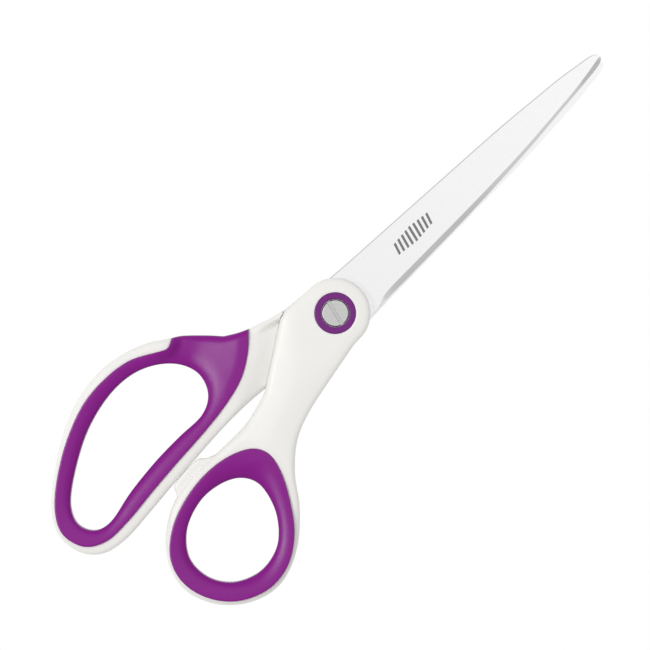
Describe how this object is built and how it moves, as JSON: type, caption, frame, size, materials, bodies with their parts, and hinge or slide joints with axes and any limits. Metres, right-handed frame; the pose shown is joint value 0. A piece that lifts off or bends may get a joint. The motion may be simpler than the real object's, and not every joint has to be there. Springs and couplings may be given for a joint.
{
  "type": "office scissors",
  "caption": "Straight-bladed office scissors with soft-lined finger and thumb loops, and blades that open on a slotted pivot screw.",
  "frame": {"origin": "on the pivot axis, on the plane that the scissors lie on", "axes": "+Y along the closed blades towards their tips, +Z out of the front face, +X towards the thumb loop"},
  "size_m": [0.0791, 0.2051, 0.011],
  "materials": {
    "blade_steel": "fine brushed",
    "white_plastic": "satin moulded",
    "soft_grip": "soft satin",
    "pivot_ring": "satin",
    "screw_steel": "satin",
    "nylon": "matte"
  },
  "bodies": {
    "rear_half": {"rear_blade": "blade_steel", "rear_handle": "white_plastic", "finger_grip": "soft_grip", "rear_pivot_ring": "pivot_ring", "pivot_nut": "screw_steel", "nut_washer": "screw_steel", "blade_washer": "nylon"},
    "front_half": {"front_blade": "blade_steel", "front_handle": "white_plastic", "thumb_grip": "soft_grip", "front_pivot_ring": "pivot_ring", "pivot_bush": "nylon", "spring_washer": "screw_steel"},
    "screw": {"pivot_screw": "screw_steel"}
  },
  "joints": [
    {"name": "blade_pivot", "type": "hinge", "parent": "rear_half", "child": "front_half", "pos_m": [0, 0, 0.0055], "axis": [0, 0, 1], "range_deg": [0, 100]},
    {"name": "screw_turn", "type": "hinge", "parent": "rear_half", "child": "screw", "pos_m": [0, 0, 0.0055], "axis": [0, 0, 1], "range_deg": [-90, 90]}
  ]
}
